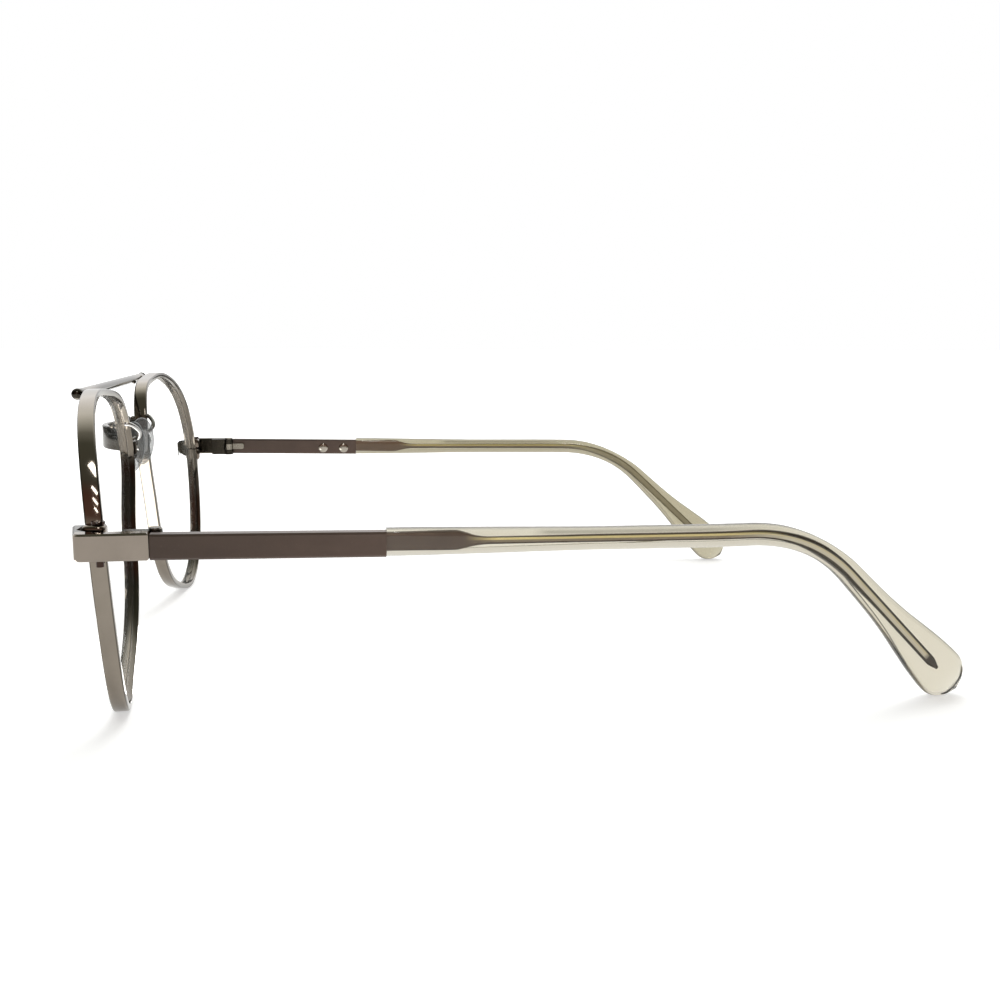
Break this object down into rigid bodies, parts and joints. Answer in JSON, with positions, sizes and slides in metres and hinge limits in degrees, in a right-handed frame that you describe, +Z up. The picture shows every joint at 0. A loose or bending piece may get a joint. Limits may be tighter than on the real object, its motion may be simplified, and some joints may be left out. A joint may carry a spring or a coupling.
{
  "type": "double bridge glasses",
  "caption": "Metal pilot glasses with a round brow bar and a bowed strap bridge, clear lenses and pads, and flat metal temples that fold and end in smoky clear tips.",
  "frame": {"origin": "bottom centre of the bounding box, on the table plane that the rims and the temple tips rest on", "axes": "+X toward the wearer's left, +Y from the front to the temple tips, +Z up"},
  "size_m": [0.1366, 0.149, 0.0514],
  "materials": {
    "gunmetal": "warm grey gunmetal plate, polished",
    "brown_lacquer": "brown grey lacquer over metal, satin",
    "core_metal": "drawn wire with a brown tint, satin",
    "screw_steel": "turned steel, fine lines",
    "smoky_clear": "clear plastic with a smoky yellow tint, polished",
    "lens_clear": "clear, polished on both faces",
    "pad_silicone": "clear soft silicone, smooth"
  },
  "bodies": {
    "front": {"brow_bar": "gunmetal", "bridge": "gunmetal", "left_rim": "gunmetal", "right_rim": "gunmetal", "left_lens": "lens_clear", "right_lens": "lens_clear", "left_endpiece": "gunmetal", "right_endpiece": "gunmetal", "left_block_upper": "gunmetal", "right_block_upper": "gunmetal", "left_block_lower": "gunmetal", "right_block_lower": "gunmetal", "left_block_screw": "screw_steel", "right_block_screw": "screw_steel", "left_hinge_front": "gunmetal", "right_hinge_front": "gunmetal", "left_hinge_screw": "screw_steel", "right_hinge_screw": "screw_steel", "left_pad_arm": "gunmetal", "right_pad_arm": "gunmetal", "left_pad_box": "gunmetal", "right_pad_box": "gunmetal", "left_pad_screw": "screw_steel", "right_pad_screw": "screw_steel"},
    "left_temple": {"left_hinge_rear": "gunmetal", "left_temple_bar": "brown_lacquer", "left_temple_core": "core_metal", "left_temple_tip": "smoky_clear", "left_crimp_rivets": "brown_lacquer"},
    "right_temple": {"right_hinge_rear": "gunmetal", "right_temple_bar": "brown_lacquer", "right_temple_core": "core_metal", "right_temple_tip": "smoky_clear", "right_crimp_rivets": "brown_lacquer"},
    "left_pad": {"left_nose_pad": "pad_silicone", "left_pad_mount": "screw_steel"},
    "right_pad": {"right_nose_pad": "pad_silicone", "right_pad_mount": "screw_steel"}
  },
  "joints": [
    {"name": "left_temple_fold", "type": "hinge", "parent": "front", "child": "left_temple", "pos_m": [0.06466, -0.0561, 0.0313], "axis": [0, 0, 1], "range_deg": [0, 88]},
    {"name": "right_temple_fold", "type": "hinge", "parent": "front", "child": "right_temple", "pos_m": [-0.06466, -0.0561, 0.0313], "axis": [0, 0, -1], "range_deg": [0, 80]},
    {"name": "left_pad_rock", "type": "hinge", "parent": "front", "child": "left_pad", "pos_m": [0.00755, -0.0682, 0.0388], "axis": [0, 1, 0], "range_deg": [-8, 8]},
    {"name": "right_pad_rock", "type": "hinge", "parent": "front", "child": "right_pad", "pos_m": [-0.00755, -0.0682, 0.0388], "axis": [0, -1, 0], "range_deg": [-8, 8]}
  ]
}
